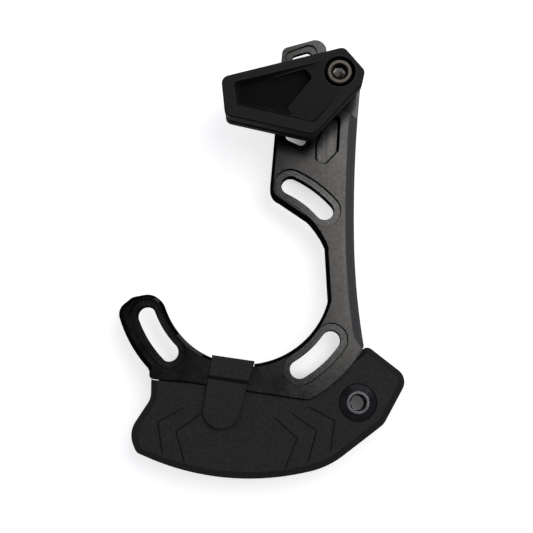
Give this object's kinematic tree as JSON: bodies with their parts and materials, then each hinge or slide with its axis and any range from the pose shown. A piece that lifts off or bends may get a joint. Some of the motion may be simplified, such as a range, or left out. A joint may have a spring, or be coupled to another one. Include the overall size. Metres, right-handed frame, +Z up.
{
  "type": "bicycle chain guide",
  "caption": "Chain guide with a two-cheek upper guide on an arc slot and a bottom impact guard, for slotted three-tab frame mounts.",
  "frame": {"origin": "bottom bracket axis, in the plane of the plate's mounting pads", "axes": "+X to the front of the bicycle, +Y inboard towards the frame, +Z up; the chainring is at -Y"},
  "size_m": [0.0982, 0.0274, 0.1543],
  "materials": {
    "anodised_plate": "black anodised, satin",
    "guard_nylon": "moulded, fine matte grain",
    "guide_nylon": "moulded, fine matte grain",
    "anodised_bolt": "turned and black anodised, glossy",
    "bolt_steel": "bronze-grey plating",
    "insert_brass": "knurled"
  },
  "bodies": {
    "plate": {"backplate": "anodised_plate", "bash_guard": "guard_nylon", "bash_bolt": "anodised_bolt", "bash_nut": "anodised_bolt"},
    "top_guide": {"guide_inner": "guide_nylon", "guide_outer": "guide_nylon", "guide_bolt": "bolt_steel", "guide_insert": "insert_brass", "clamp_screw": "bolt_steel", "slider_nut": "bolt_steel"}
  },
  "joints": [
    {"name": "guide_adjust", "type": "hinge", "parent": "plate", "child": "top_guide", "pos_m": [-0.0235, 0, 0.0683], "axis": [0, -1, 0], "range_deg": [-13, 13]}
  ]
}
